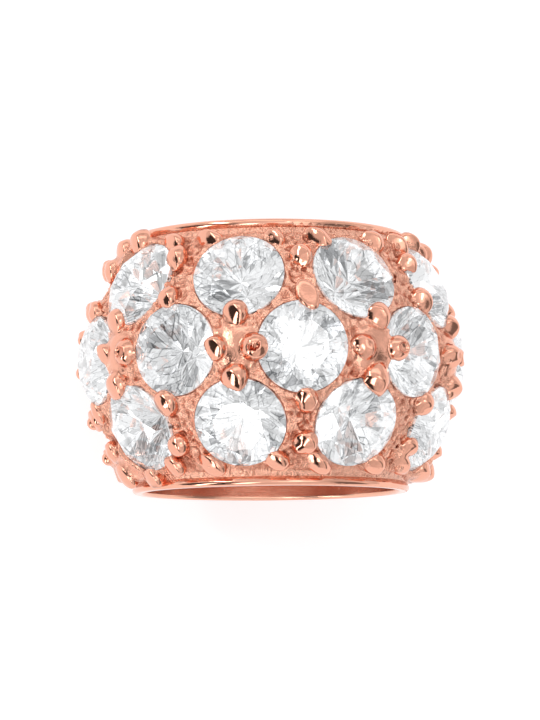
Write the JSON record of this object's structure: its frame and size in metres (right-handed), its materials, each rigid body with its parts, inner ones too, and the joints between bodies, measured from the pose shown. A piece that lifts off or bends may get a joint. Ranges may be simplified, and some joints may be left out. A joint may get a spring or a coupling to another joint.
{
  "type": "cocktail ring",
  "caption": "Wide domed finger ring: a cast metal band with beaded prongs holding staggered rows of round brilliant stones.",
  "frame": {"origin": "centre of the finger hole, halfway between the two rims", "axes": "+Y along the finger axis, +Z from the finger out through the centre stone, +X across the finger"},
  "size_m": [0.0266, 0.0176, 0.0234],
  "materials": {
    "rose_gold": "polished rose gold plate over a rough cast ground",
    "clear_stone": "colourless round brilliant cut, polished facets"
  },
  "bodies": {
    "root": {"band": "rose_gold", "middle_stone_1": "clear_stone", "middle_stone_2": "clear_stone", "middle_stone_3": "clear_stone", "middle_stone_4": "clear_stone", "middle_stone_5": "clear_stone", "left_stone_1": "clear_stone", "left_stone_2": "clear_stone", "left_stone_3": "clear_stone", "left_stone_4": "clear_stone", "right_stone_1": "clear_stone", "right_stone_2": "clear_stone", "right_stone_3": "clear_stone", "right_stone_4": "clear_stone"}
  },
  "joints": []
}
